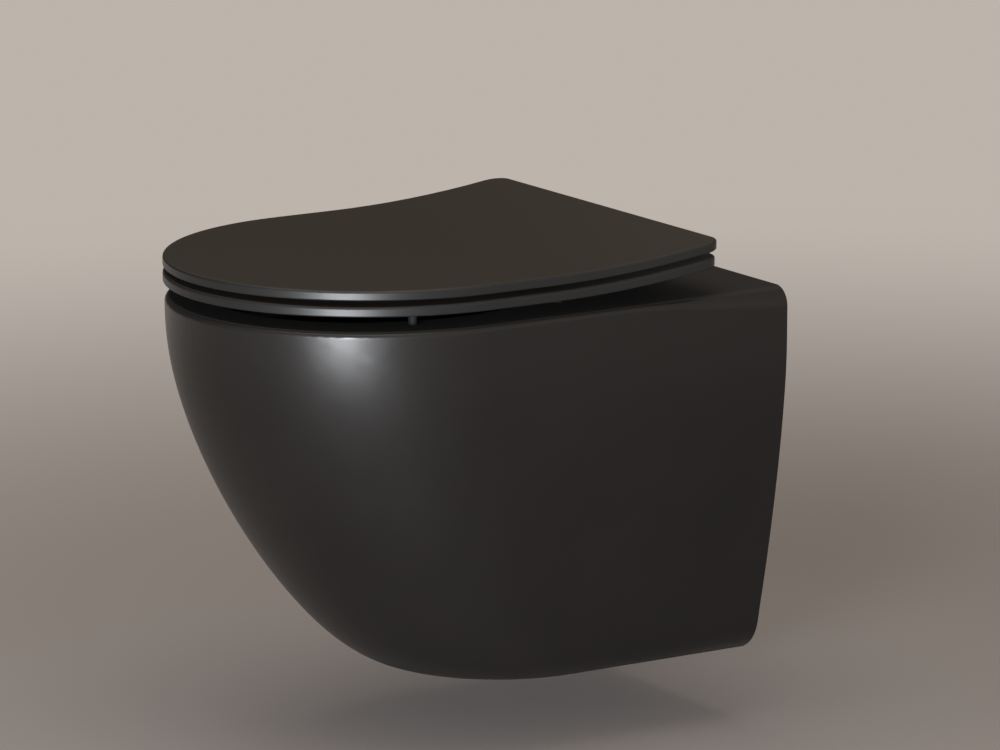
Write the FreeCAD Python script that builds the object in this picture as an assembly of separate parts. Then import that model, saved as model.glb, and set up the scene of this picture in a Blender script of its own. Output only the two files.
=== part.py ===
"""Wall hung toilet: a rimless pan with a slim soft-close seat and lid.

Frame: millimetres, +Z up.  The origin lies on the wall face, midway between the two wall studs.
The wall is the plane Y = 0 and the pan reaches out along -Y; X is the width, symmetric about 0.
"""
import FreeCAD, Part
import math
import os
from FreeCAD import Vector as V

# --- driving dimensions -------------------------------------------------------------------

# wall connections, all measured on the wall face
STUD_SPACING = 180.0        # between the two M12 studs
STUD_HOLE_R = 6.5
INLET_Z = 35.0              # centre of the flush pipe
INLET_R = 27.5              # bore that takes the flush pipe's 55 mm cone
INLET_DEPTH = 45.0
OUTLET_Z = -100.0           # centre of the waste pipe
OUTLET_R = 51.0             # outside of the spigot
OUTLET_BORE_R = 42.0
OUTLET_LENGTH = 46.0
OUTLET_RECESS = 2.0         # the spigot ends this far inside the wall face

# outer form of the pan
DECK_Z = 80.0               # top of the deck, over the wall studs
PAN_HEIGHT = 338.0
PAN_HALF_WIDTH = 178.5
PAN_NOSE = 495.0            # how far the rim reaches from the wall
SOLE_NOSE = 287.0           # how far the flat underside reaches
NOSE_UPRIGHT = 10.0         # height of the straight part of the nose under the deck
NOSE_BELLY = 134.0          # how long the nose keeps its upright direction
SOLE_REACH = 64.0           # how long the underside keeps its level direction
FRONT_LENGTH = 187.0        # length of the half ellipse that ends the plan, at the rim
FRONT_TAPER = 0.362         # how fast that length shrinks as the nose draws in
SIDE_LEAN = 49.0            # how much narrower each side is at the bottom
SIDE_UPRIGHT = 50.0         # depth at which the sides start to lean in
SIDE_POWER = 1.5
SOLE_ROUND = 27.0           # radius between sides and underside
NOSE_STEPS = 14             # level sections that the pan's skin is drawn through
FIRST_STEP = 4.0            # the second section lies at least this far under the first
DECK_ROUND = 5.0            # radius round the top of the pan, in front
DECK_ROUND_REAR = 17.0      # the same at the wall
DECK_BLEND = 150.0          # the radius grows over this stretch
CHINA = 12.0                # thickness of the casting
DUCT_CHINA = 9.0            # thickness round trapway and inlet

# basin, in plan an ellipse at every depth
BASIN_HALF_WIDTH = 124.0
RIM_FRONT = 46.0            # width of the rim in front of the basin
BASIN_BACK = 160.0
BASIN_ROUND = 8.0
FUNNEL_DEPTH = 215.0        # where the sloping walls become the upright walls of the sump
FUNNEL_STEPS = 8
SUMP_DEPTH = 285.0
SUMP_HALF_WIDTH = 42.0
SUMP_FRONT = 342.0
SUMP_LENGTH = 80.0
SUMP_ROUND = 22.0

# trapway: level out of the sump, up over the weir, down to the outlet
TRAP_R = 28.0
TRAP_SILL = 1.0             # the trapway's floor over the sump's
TRAP_LEAD = 10.0            # straight stretch behind the sump, before the first bend
TRAP_BEND = 40.0
TRAP_RISE_DEG = 60.0
TRAP_FALL_DEG = 35.0
TRAP_CONE = 20.0            # stretch over which it widens to the outlet
WEIR_Z = -95.0              # level of the water that stands in the basin

# flush mouth in the back of the basin
MOUTH_HALF_WIDTH = 34.0
MOUTH_HEIGHT = 30.0
MOUTH_DROP = 20.0           # from the deck down to the mouth
DUCT_R = 22.0
DUCT_STRAIGHT = 45.0
MOUTH_REACH = 22.0          # the duct's form runs this far into the basin
HOOD_HALF_WIDTH = 46.0
HOOD_REACH = 26.0
HOOD_HEIGHT = 36.0
HOOD_OVER = 4.0             # the hood's top above the mouth's
HOOD_SIDE_CUT = 16.0        # from the basin's back line to the hood's side windows
HOOD_WALL = 3.0
TONGUE_HALF_WIDTH = 9.0
TONGUE_DROP = 2.5           # under the top of the mouth
TONGUE_LENGTH = 12.0        # how far the tongue reaches into the mouth

# seat and lid share one outline
LID_SIDE_OVERHANG = 1.5     # past the pan's sides
LID_NOSE_OVERHANG = 2.0
LID_BACK = 68.1
LID_FRONT_LENGTH = 193.0
LID_CORNER_R = 17.0
LID_TOP_LIFT = 36.0         # from the deck to the top of the lid
LID_HEIGHT = 8.4
LID_SKIN = 4.5
LID_RIM = 4.0
SEAT_TOP_DROP = 13.9        # from the top of the lid to the top of the seat
SEAT_HEIGHT = 8.5
SEAT_BACK_INSET = 1.8
RISE_START = 247.0          # behind this line seat and lid curve upwards
REAR_RISE = 14.0            # rise at the back edge
RING_WIDTH = 72.0           # the seat's ring at its sides
RING_FRONT = 67.0
HOLE_LENGTH = 265.0
EDGE_ROUND = 2.2
UNDER_ROUND = 1.2

# hinges
HINGE_SPACING = 155.0
HINGE_FROM_WALL = 80.0
HINGE_DROP = 18.0           # from the lid's rear top edge down to the hinge axis
PIN_R = 4.0
BARREL_R = 9.3
HUB_HALF_WIDTH = 11.0
HUB_BACK = 6.5
TOE_REACH = 16.0
TOE_HEIGHT = 12.0
SEAT_BARREL_LENGTH = 36.0
LID_BARREL_LENGTH = 28.0
BARREL_END_GAP = 0.5
CARTRIDGE_R = 7.0
CARTRIDGE_END = 2.0         # wall left at the closed end of each barrel
DRUM_END = 2.0              # wall left at the closed end of a damper's drum
NOTCH_GAP = 1.0
RUNNING_GAP = 0.05
FREE_GAP = 0.3
SNUG_GAP = 0.02
SEAT_GAP = 0.1              # hub over base
WEB_HALF = 6.0
TOE_ROUND = 1.5
BUTTON_ROUND = 0.8
BUSH_LENGTH = 14.0
POST_R = 5.0
POST_HEIGHT = 18.0
POST_LEAD = 1.0             # chamfer at the top
GROOVE_R = 3.5
GROOVE_HEIGHT = 1.4
GROOVE_LIFT = 6.2           # from the base to the middle of the groove
WIRE_R = 0.6
BASE_R = 20.0
BASE_HEIGHT = 5.0
BASE_ROUND = 2.0
GASKET_HEIGHT = 1.0
BUTTON_WIDTH = 11.0
BUTTON_HEIGHT = 7.0
BUTTON_PROUD = 3.0
BUTTON_TRAVEL = 2.5
BUTTON_GAP = 0.2

# hidden fixing under the deck
DECK_HOLE_R = 9.0
BUSH_FLANGE_R = 12.0
SCREW_R = 6.0
SCREW_HEAD_R = 10.0
SCREW_HEAD = 2.4
TAIL_R = 3.0
PAD_R = 17.0
PAD_HEIGHT = 6.0
ARM_THICK = 5.0
ARM_HALF_WIDTH = 16.0
ARM_SHOULDER = 35.0         # how far the arm keeps its full width
ARM_NECK = 56.0             # where the arm has drawn in to the pad's width
BOSS_WALL = 3.5
BOSS_HEIGHT = 8.0
PLATE_THICK = 5.0
PLATE_HALF_WIDTH = 20.0
PLATE_HALF_HEIGHT = 26.0
WEB_THICK = 3.5
NUT_FLATS = 19.0
NUT_HEIGHT = 10.0
NUT_BORE_R = 6.1
FLANGE_R = 13.0
FLANGE_HEIGHT = 2.0

# buffers
SEAT_BUFFER_LENGTH = 12.0
SEAT_BUFFER_WIDTH = 7.0
SEAT_BUFFER_PLACES = ((136.0, 140.0, 66.0), (124.0, 292.0, -66.0))  # across, behind the nose, turn
LID_BUFFER_R = 5.0
LID_BUFFER_PLACES = ((104.0, 89.0), (143.0, 312.0))  # across, behind the nose
PEG_R = 2.5
PEG_LENGTH = 3.5

# values that follow from the ones above
BASIN_FRONT = PAN_NOSE - RIM_FRONT
STACK_NOSE = PAN_NOSE + LID_NOSE_OVERHANG
LID_HALF_WIDTH = PAN_HALF_WIDTH + LID_SIDE_OVERHANG
LID_TOP_Z = DECK_Z + LID_TOP_LIFT
HINGE_Z = LID_TOP_Z + REAR_RISE - HINGE_DROP
SUMP_BACK = SUMP_FRONT - SUMP_LENGTH
HOLE_HALF_WIDTH = LID_HALF_WIDTH - RING_WIDTH
HOLE_FRONT = STACK_NOSE - RING_FRONT
HOLE_BACK = HOLE_FRONT - HOLE_LENGTH
NEAR_LEVEL = 0.8            # upward part of the normal of a face that counts as level
NEAR_UPRIGHT = 0.3          # and of one that counts as upright
OVERCUT = 2.0               # cutting bodies run this far past what they cut
PAST = 20.0                 # layers run this far past the outline
TALL = PAN_HEIGHT           # longer than anything that an upright bar has to reach

SIDES = (("left", -1), ("right", 1))


# --- small helpers ------------------------------------------------------------------------

def save(name, shape):
    """Write one sub-part."""
    shape.exportStep(os.path.join("parts", name + ".step"))


def cylinder(radius, length, base, direction=V(0, 0, 1)):
    return Part.makeCylinder(radius, length, base, direction)


def block(x0, x1, y0, y1, z0, z1):
    return Part.makeBox(x1 - x0, y1 - y0, z1 - z0, V(x0, y0, z0))


def rational_arc(start, corner, end):
    """Quarter of an ellipse between two points, tangent to the lines through the corner."""
    curve = Part.BezierCurve()
    curve.setPoles([start, corner, end])
    curve.setWeight(2, math.sqrt(0.5))
    return curve.toShape()


def mirrored(shape, side):
    """The shape as modelled for the right side, or its mirror image for the left."""
    if side > 0:
        return shape
    return shape.mirror(V(0, 0, 0), V(1, 0, 0))


# --- the pan ------------------------------------------------------------------------------

def pan_half_width(depth, inset):
    """Half width of the pan at a depth under the deck, less an inset."""
    leaning = max(0.0, depth - SIDE_UPRIGHT) / (PAN_HEIGHT - SIDE_UPRIGHT)
    width = PAN_HALF_WIDTH - SIDE_LEAN * leaning ** SIDE_POWER - inset
    radius = SOLE_ROUND - inset
    over = depth - (PAN_HEIGHT - SOLE_ROUND)
    if over > 0.0:
        width -= radius - math.sqrt(max(0.0, radius ** 2 - over ** 2))
    return width


def pan_nose(share, inset):
    """Reach and depth of a point on the nose curve, moved in along the curve's normal."""
    a, b, c, d = (1 - share) ** 3, 3 * (1 - share) ** 2 * share, 3 * (1 - share) * share ** 2, share ** 3
    reach = (a + b) * PAN_NOSE + c * (SOLE_NOSE + SOLE_REACH) + d * SOLE_NOSE
    depth = a * NOSE_UPRIGHT + b * (NOSE_UPRIGHT + NOSE_BELLY) + (c + d) * PAN_HEIGHT
    run = 3 * (2 * (1 - share) * share * (SOLE_NOSE + SOLE_REACH - PAN_NOSE) - share ** 2 * SOLE_REACH)
    fall = 3 * ((1 - share) ** 2 * NOSE_BELLY
                + 2 * (1 - share) * share * (PAN_HEIGHT - NOSE_UPRIGHT - NOSE_BELLY))
    length = math.hypot(run, fall)
    return reach - inset * fall / length, depth + inset * run / length


def pan_section(depth, reach, inset, back):
    """Level section: straight back and sides, closed by half an ellipse."""
    width = pan_half_width(depth, inset)
    front = FRONT_LENGTH - FRONT_TAPER * (PAN_NOSE - reach - inset) - inset
    z = DECK_Z - depth
    corner = front - reach
    left, right, nose = V(-width, corner, z), V(width, corner, z), V(0, -reach, z)
    edges = [
        Part.makeLine(V(-width, back, z), left),
        rational_arc(left, V(-width, -reach, z), nose),
        rational_arc(nose, V(width, -reach, z), right),
        Part.makeLine(right, V(width, back, z)),
        Part.makeLine(V(width, back, z), V(-width, back, z)),
    ]
    return Part.Wire(edges)


def pan_form(inset, back):
    """The pan as a solid, or what lies inside its casting when an inset is given."""
    sections = [pan_section(inset, PAN_NOSE - inset, inset, back)]
    for step in range(NOSE_STEPS + 1):
        reach, depth = pan_nose(step / NOSE_STEPS, inset)
        if depth > inset + FIRST_STEP:
            sections.append(pan_section(depth, reach, inset, back))
    return Part.makeLoft(sections, True, False)


def oval(x_half, y_front, y_back, z):
    """Level ellipse from four quarters, given by its half width and its two ends."""
    middle = (y_front + y_back) / 2
    points = [V(0, y_back, z), V(x_half, middle, z), V(0, y_front, z), V(-x_half, middle, z)]
    corners = [V(x_half, y_back, z), V(x_half, y_front, z), V(-x_half, y_front, z), V(-x_half, y_back, z)]
    return Part.Wire([rational_arc(points[i], corners[i], points[(i + 1) % 4]) for i in range(4)])


def basin_form(outset):
    """The basin's hollow, or the casting round it when an outset is given."""
    sections = []
    for step in range(FUNNEL_STEPS + 1):
        share = (1 + math.cos(math.pi * step / FUNNEL_STEPS)) / 2
        half = SUMP_HALF_WIDTH + share * (BASIN_HALF_WIDTH - SUMP_HALF_WIDTH)
        front = SUMP_FRONT + share * (BASIN_FRONT - SUMP_FRONT)
        back = SUMP_BACK + share * (BASIN_BACK - SUMP_BACK)
        z = DECK_Z - FUNNEL_DEPTH * step / FUNNEL_STEPS
        sections.append(oval(half + outset, -front - outset, -back + outset, z))
    funnel = Part.makeLoft(sections, True, False)
    floor = DECK_Z - SUMP_DEPTH - outset
    foot = oval(SUMP_HALF_WIDTH + outset, -SUMP_FRONT - outset, -SUMP_BACK + outset, floor)
    sump = Part.Face(foot).extrude(V(0, 0, sections[-1].BoundBox.ZMin - floor))
    low = [edge for edge in sump.Edges if edge.BoundBox.ZMax < floor + SNUG_GAP]
    sump = sump.makeFillet(SUMP_ROUND + outset, low)
    return funnel.fuse(sump)


def trap_path():
    """Middle line of the trapway, in the plane X = 0, from the sump to the outlet."""
    def at(y, z):
        return V(0, y, z)

    def bend(start, heading, turn):
        """Arc from a start and a heading, and the place where it ends."""
        sign = 1 if turn > 0 else -1
        centre = start + V(0, -sign * math.sin(heading), sign * math.cos(heading)) * TRAP_BEND

        def point(angle):
            return centre + V(0, sign * math.sin(angle), -sign * math.cos(angle)) * TRAP_BEND
        return Part.Arc(point(heading), point(heading + turn / 2), point(heading + turn)).toShape()

    rise, fall = math.radians(TRAP_RISE_DEG), math.radians(TRAP_FALL_DEG)
    start = at(-(SUMP_FRONT + SUMP_BACK) / 2, DECK_Z - SUMP_DEPTH + TRAP_R + TRAP_SILL)
    crest = WEIR_Z + TRAP_R
    first = bend(at(-SUMP_BACK + TRAP_LEAD, start.z), 0.0, rise)
    foot = first.Vertexes[-1].Point
    climb = crest - TRAP_BEND * (1 - math.cos(rise)) - foot.z
    top = foot + V(0, climb / math.tan(rise), climb)
    second = bend(top, rise, -rise - fall)
    brow = second.Vertexes[-1].Point
    drop = brow.z - OUTLET_Z - TRAP_BEND * (1 - math.cos(fall))
    low = brow + V(0, drop / math.tan(fall), -drop)
    third = bend(low, -fall, fall)
    end = third.Vertexes[-1].Point
    lines = [Part.makeLine(start, first.Vertexes[0].Point), Part.makeLine(foot, top),
             Part.makeLine(brow, low), Part.makeLine(end, at(-OUTLET_LENGTH - TRAP_CONE, OUTLET_Z))]
    return Part.Wire([lines[0], first, lines[1], second, lines[2], third, lines[3]])


def pipe(path, radius):
    """Round bar along a path that starts level and heads for the wall."""
    start = path.Vertexes[0].Point
    ring = Part.Wire([Part.makeCircle(radius, start, V(0, 1, 0))])
    return path.makePipeShell([ring], True, False)


def trapway(path, outset):
    """The waterway from sump to outlet, or the casting round it when an outset is given."""
    cone_start = -OUTLET_LENGTH - TRAP_CONE
    wide = OUTLET_R if outset else OUTLET_BORE_R
    cone = Part.makeCone(TRAP_R + outset, wide, TRAP_CONE, V(0, cone_start, OUTLET_Z), V(0, 1, 0))
    reach = OUTLET_LENGTH - OUTLET_RECESS if outset else OUTLET_LENGTH + OVERCUT
    mouth = cylinder(wide, reach, V(0, -OUTLET_LENGTH, OUTLET_Z), V(0, 1, 0))
    return pipe(path, TRAP_R + outset).fuse([cone, mouth])


def flush_duct(outset):
    """The way of the flush water from the socket to its mouth in the basin."""
    over = 0.0 if outset else OVERCUT
    socket = cylinder(INLET_R + outset, INLET_DEPTH + over + outset,
                      V(0, -INLET_DEPTH - outset, INLET_Z), V(0, 1, 0))
    straight_end = -INLET_DEPTH - DUCT_STRAIGHT
    neck = cylinder(DUCT_R + outset, DUCT_STRAIGHT, V(0, straight_end, INLET_Z), V(0, 1, 0))
    mouth_z = DECK_Z - MOUTH_DROP - MOUTH_HEIGHT / 2
    mouth_y = -BASIN_BACK - MOUTH_REACH

    def ring(y, z, half, height):
        points = [V(0, y, z + height), V(half, y, z), V(0, y, z - height), V(-half, y, z)]
        corners = [V(half, y, z + height), V(half, y, z - height),
                   V(-half, y, z - height), V(-half, y, z + height)]
        return Part.Wire([rational_arc(points[i], corners[i], points[(i + 1) % 4]) for i in range(4)])

    rings = [ring(straight_end, INLET_Z, DUCT_R + outset, DUCT_R + outset),
             ring(mouth_y, mouth_z, MOUTH_HALF_WIDTH + outset, MOUTH_HEIGHT / 2 + outset)]
    return socket.fuse([neck, Part.makeLoft(rings, True, True)])


def deck_holes(radius):
    """Bars through the deck at the two hinge places."""
    length = CHINA + 2 * OVERCUT
    return [cylinder(radius, length, V(side * HINGE_SPACING / 2, -HINGE_FROM_WALL, DECK_Z - CHINA - OVERCUT))
            for _, side in SIDES]


def deck_rim(form):
    """Edges round the deck that run towards the wall or round the nose."""
    return [edge for edge in form.Edges if edge.BoundBox.ZMin > DECK_Z - SNUG_GAP
            and edge.BoundBox.YMax - edge.BoundBox.YMin > SNUG_GAP]


def rounded_pan():
    """The pan's outer form with a flat back and a rounded deck, rounder towards the wall."""
    form = pan_form(0.0, OVERCUT)
    side, low, high = PAN_HALF_WIDTH + PAST, DECK_Z - PAN_HEIGHT - PAST, DECK_Z + PAST
    front = form.common(block(-side, side, -PAN_NOSE - PAST, -DECK_BLEND, low, high))
    rear = form.common(block(-side, side, -DECK_BLEND, 0.0, low, high))
    front = front.makeFillet(DECK_ROUND, deck_rim(front))
    for sign in (-1, 1):
        edge = [edge for edge in deck_rim(rear) if edge.CenterOfMass.x * sign > 0
                and abs(edge.CenterOfMass.x) > PAN_HALF_WIDTH - DECK_ROUND][0]
        radii = [DECK_ROUND_REAR, DECK_ROUND]
        if edge.Vertexes[-1].Y > edge.Vertexes[0].Y:
            radii.reverse()
        rear = rear.makeFillet(radii[0], radii[1], [edge])
    return front.fuse(rear)


def make_casting():
    """The four moulded pieces of the casting, cut so that they meet without overlapping."""
    path = trap_path()
    water = [basin_form(0.0), trapway(path, 0.0), flush_duct(0.0)]
    hollow = pan_form(CHINA, OVERCUT)
    basin, trap, duct = basin_form(DUCT_CHINA), trapway(path, DUCT_CHINA), flush_duct(DUCT_CHINA)
    shell = rounded_pan().cut([hollow] + water + deck_holes(DECK_HOLE_R))
    lip = [edge for edge in shell.Edges if on_basin_lip(edge)]
    return {
        "pan_shell": shell.makeFillet(BASIN_ROUND, lip),
        "basin": basin.common(hollow).cut(water),
        "trapway": trap.common(hollow).cut([basin] + water),
        "flush_channel": duct.common(hollow).cut([basin] + water),
    }


def on_basin_lip(edge):
    """True for the quarters of the ellipse where the basin meets the deck."""
    box = edge.BoundBox
    level = box.ZMin > DECK_Z - SNUG_GAP
    inside = box.YMin > -BASIN_FRONT - OVERCUT and box.YMax < -BASIN_BACK + OVERCUT
    return level and inside and abs(box.XMax) < BASIN_HALF_WIDTH + OVERCUT and edge.Length > BASIN_ROUND


def make_deflector():
    """Hood in front of the flush mouth, open below and at its sides, with a tongue in the mouth."""
    top = DECK_Z - MOUTH_DROP + HOOD_OVER
    low = top - HOOD_HEIGHT
    centre = -BASIN_BACK

    def half_round(half, reach, z0, z1):
        return Part.Face(oval(half, centre - reach, centre + reach, z0)).extrude(V(0, 0, z1 - z0))

    hood = half_round(HOOD_HALF_WIDTH, HOOD_REACH, low, top)
    hood = hood.cut(half_round(HOOD_HALF_WIDTH - HOOD_WALL, HOOD_REACH - HOOD_WALL,
                               low - OVERCUT, top - HOOD_WALL))
    windows = block(-HOOD_HALF_WIDTH - OVERCUT, HOOD_HALF_WIDTH + OVERCUT, centre - HOOD_SIDE_CUT,
                    centre + HOOD_REACH + PAST, low - OVERCUT, top - HOOD_WALL)
    hood = hood.cut(windows).common(basin_form(-FREE_GAP))
    tongue_z = DECK_Z - MOUTH_DROP - TONGUE_DROP
    root = centre - HOOD_REACH / 2
    tongue = block(-TONGUE_HALF_WIDTH, TONGUE_HALF_WIDTH, root, centre + TONGUE_LENGTH,
                   tongue_z - HOOD_WALL, tongue_z)
    riser = block(-TONGUE_HALF_WIDTH, TONGUE_HALF_WIDTH, root, root + HOOD_WALL,
                  tongue_z - HOOD_WALL, top - HOOD_WALL / 2)
    return hood.fuse([tongue, riser])


# --- hidden fixing, modelled for the right side ----------------------------------------------

def hinge_place(z):
    return V(HINGE_SPACING / 2, -HINGE_FROM_WALL, z)


def stud_place(y):
    return V(STUD_SPACING / 2, y, 0)


def arm_top():
    return DECK_Z - CHINA - PAD_HEIGHT


def ring_solid(outer, inner, height, base):
    return cylinder(outer, height, base).cut(cylinder(inner, height + 2 * OVERCUT, base - V(0, 0, OVERCUT)))


def make_bracket():
    """Plate on the wall stud, arm under the deck with a threaded boss, and two webs."""
    x_arm = HINGE_SPACING / 2
    x_in, x_out = x_arm - ARM_HALF_WIDTH, STUD_SPACING / 2 + PLATE_HALF_WIDTH
    top = arm_top()
    plate = block(x_in, x_out, -PLATE_THICK, 0, -PLATE_HALF_HEIGHT, top)
    plan = [V(x_in, 0, top - ARM_THICK), V(x_out, 0, top - ARM_THICK),
            V(x_out, -ARM_SHOULDER, top - ARM_THICK),
            V(x_arm + ARM_HALF_WIDTH, -ARM_NECK, top - ARM_THICK),
            V(x_arm + ARM_HALF_WIDTH, -HINGE_FROM_WALL, top - ARM_THICK)]
    tip = Part.Arc(plan[-1], V(x_arm, -HINGE_FROM_WALL - ARM_HALF_WIDTH, top - ARM_THICK),
                   V(x_in, -HINGE_FROM_WALL, top - ARM_THICK)).toShape()
    lines = [Part.makeLine(a, b) for a, b in zip(plan, plan[1:])]
    close = Part.makeLine(V(x_in, -HINGE_FROM_WALL, top - ARM_THICK), plan[0])
    arm = Part.Face(Part.Wire(lines + [tip, close])).extrude(V(0, 0, ARM_THICK))
    boss = cylinder(SCREW_R + BOSS_WALL, BOSS_HEIGHT, hinge_place(top - ARM_THICK - BOSS_HEIGHT))

    def web(x, reach, low):
        corners = [V(x, 0, top), V(x, 0, low), V(x, -PLATE_THICK, low), V(x, -reach, top - ARM_THICK),
                   V(x, -reach, top)]
        return Part.Face(Part.makePolygon(corners + corners[:1])).extrude(V(WEB_THICK, 0, 0))

    webs = [web(x_in, HINGE_FROM_WALL - BOSS_WALL, -PLATE_HALF_HEIGHT),
            web(x_out - WEB_THICK, ARM_SHOULDER, -PLATE_HALF_HEIGHT)]
    bracket = plate.fuse([arm, boss] + webs)
    bores = [cylinder(STUD_HOLE_R, PLATE_THICK + 2 * OVERCUT, stud_place(OVERCUT), V(0, -1, 0)),
             cylinder(SCREW_R + SNUG_GAP, ARM_THICK + BOSS_HEIGHT + 2 * OVERCUT,
                      hinge_place(top - ARM_THICK - BOSS_HEIGHT - OVERCUT))]
    return bracket.cut(bores)


def make_stud_nut():
    """Hexagon nut with a flange, on the stud in front of the bracket's plate."""
    flange = cylinder(FLANGE_R, FLANGE_HEIGHT, stud_place(-PLATE_THICK), V(0, -1, 0))
    across = NUT_FLATS / math.sqrt(3)
    turns = [math.radians(60 * n) for n in range(7)]
    y = -PLATE_THICK - FLANGE_HEIGHT
    corners = [V(STUD_SPACING / 2 + across * math.cos(t), y, across * math.sin(t)) for t in turns]
    hexagon = Part.Face(Part.makePolygon(corners)).extrude(V(0, -NUT_HEIGHT, 0))
    bore = cylinder(NUT_BORE_R, NUT_HEIGHT + FLANGE_HEIGHT + 2 * OVERCUT,
                    stud_place(-PLATE_THICK + OVERCUT), V(0, -1, 0))
    return flange.fuse(hexagon).cut(bore)


def make_pad():
    return ring_solid(PAD_R, SCREW_R + FREE_GAP, PAD_HEIGHT, hinge_place(arm_top()))


def make_deck_bush():
    """Sleeve in the deck's hole with a flange on the deck."""
    sleeve = cylinder(DECK_HOLE_R - SNUG_GAP, CHINA - FREE_GAP, hinge_place(DECK_Z - CHINA + FREE_GAP))
    flange = cylinder(BUSH_FLANGE_R, GASKET_HEIGHT, hinge_place(DECK_Z))
    bore = cylinder(SCREW_R + FREE_GAP, CHINA + 2 * OVERCUT, hinge_place(DECK_Z - CHINA - OVERCUT))
    return sleeve.fuse(flange).cut(bore)


def make_fixing_screw():
    """Hollow screw: head on the bush, shank through the pad and into the bracket's boss."""
    seat = DECK_Z + GASKET_HEIGHT
    foot = arm_top() - ARM_THICK - BOSS_HEIGHT
    shank = cylinder(SCREW_R, seat - foot, hinge_place(foot))
    head = cylinder(SCREW_HEAD_R, SCREW_HEAD, hinge_place(seat))
    bore = cylinder(TAIL_R + SNUG_GAP, seat - foot + SCREW_HEAD + 2 * OVERCUT, hinge_place(foot - OVERCUT))
    return shank.fuse(head).cut(bore)


def make_gasket():
    return ring_solid(BASE_R - FREE_GAP, BUSH_FLANGE_R + FREE_GAP, GASKET_HEIGHT, hinge_place(DECK_Z))


def base_top():
    return DECK_Z + GASKET_HEIGHT + BASE_HEIGHT


def make_hinge_base():
    """Round foot that hides the screw's head."""
    low = DECK_Z + GASKET_HEIGHT
    disc = cylinder(BASE_R, BASE_HEIGHT, hinge_place(low))
    top_edge = [edge for edge in disc.Edges if edge.BoundBox.ZMin > base_top() - SNUG_GAP]
    disc = disc.makeFillet(BASE_ROUND, top_edge)
    recess = cylinder(SCREW_HEAD_R + FREE_GAP, SCREW_HEAD + SEAT_GAP, hinge_place(low))
    bore = cylinder(TAIL_R + SNUG_GAP, BASE_HEIGHT + 2 * OVERCUT, hinge_place(low - OVERCUT))
    return disc.cut([recess, bore])


def make_hinge_post():
    """Post with a groove for the latch and a threaded tail down into the hollow screw."""
    post = cylinder(POST_R, POST_HEIGHT, hinge_place(base_top()))
    top_edge = [edge for edge in post.Edges if edge.BoundBox.ZMin > base_top() + POST_HEIGHT - SNUG_GAP]
    post = post.makeChamfer(POST_LEAD, top_edge)
    groove = ring_solid(POST_R + OVERCUT, GROOVE_R, GROOVE_HEIGHT,
                        hinge_place(base_top() + GROOVE_LIFT - GROOVE_HEIGHT / 2))
    tail = cylinder(TAIL_R, base_top() - arm_top(), hinge_place(arm_top()))
    return post.cut(groove).fuse(tail)


# --- hinge hubs and buttons, modelled for the right side -------------------------------------

def axis_point(x, y=0.0, z=0.0):
    """A place given along X, and from the hinge axis in Y and Z."""
    return V(x, -HINGE_FROM_WALL + y, HINGE_Z + z)


def hub_faces():
    middle = HINGE_SPACING / 2
    return middle - HUB_HALF_WIDTH, middle + HUB_HALF_WIDTH


def make_hub():
    """Hub with a rounded head, a blind bore for the post and a toe that holds the button."""
    x_in, x_out = hub_faces()
    low = base_top() + SEAT_GAP - HINGE_Z
    toe = low + TOE_HEIGHT
    tuck = -math.sqrt(BARREL_R ** 2 - HUB_BACK ** 2)
    head = Part.Arc(axis_point(x_in, HUB_BACK, tuck), axis_point(x_in, 0, BARREL_R),
                    axis_point(x_in, -BARREL_R, 0)).toShape()
    corners = [axis_point(x_in, -BARREL_R, 0), axis_point(x_in, -BARREL_R, toe),
               axis_point(x_in, -TOE_REACH, toe), axis_point(x_in, -TOE_REACH, low),
               axis_point(x_in, HUB_BACK, low), axis_point(x_in, HUB_BACK, tuck)]
    lines = [Part.makeLine(a, b) for a, b in zip(corners, corners[1:])]
    hub = Part.Face(Part.Wire([head] + lines)).extrude(V(2 * HUB_HALF_WIDTH, 0, 0))
    nose = [edge for edge in hub.Edges
            if edge.BoundBox.YMax < -HINGE_FROM_WALL - TOE_REACH + SNUG_GAP]
    hub = hub.makeFillet(TOE_ROUND, nose)
    post_bore = cylinder(POST_R + RUNNING_GAP, POST_HEIGHT + FREE_GAP, hinge_place(base_top()))
    pin_bore = cylinder(PIN_R + SNUG_GAP, 2 * (HUB_HALF_WIDTH + OVERCUT),
                        axis_point(x_in - OVERCUT), V(1, 0, 0))
    return hub.cut([post_bore, pin_bore, button_pocket(), wire_slot()])


def groove_z():
    return base_top() + GROOVE_LIFT


def button_depth():
    """How far the button reaches into the hub at rest."""
    return TOE_REACH - POST_R - BUTTON_TRAVEL - 2 * FREE_GAP


def button_pocket():
    middle = HINGE_SPACING / 2
    half = BUTTON_WIDTH / 2 + BUTTON_GAP
    tall = BUTTON_HEIGHT / 2 + BUTTON_GAP
    front = -HINGE_FROM_WALL - TOE_REACH
    back = front + button_depth() + BUTTON_TRAVEL + FREE_GAP
    return block(middle - half, middle + half, front - OVERCUT, back, groove_z() - tall, groove_z() + tall)


def make_button():
    """Push button in the toe, with rounded outer edges."""
    middle = HINGE_SPACING / 2
    front = -HINGE_FROM_WALL - TOE_REACH - BUTTON_PROUD
    back = -HINGE_FROM_WALL - TOE_REACH + button_depth()
    button = block(middle - BUTTON_WIDTH / 2, middle + BUTTON_WIDTH / 2, front, back,
                   groove_z() - BUTTON_HEIGHT / 2, groove_z() + BUTTON_HEIGHT / 2)
    face = [edge for edge in button.Edges if edge.BoundBox.YMax < front + SNUG_GAP / 2]
    return button.makeFillet(BUTTON_ROUND, face)


def wire_bend():
    """Radius of the spring wire's middle line round the post's groove."""
    return GROOVE_R + RUNNING_GAP + WIRE_R


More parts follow.
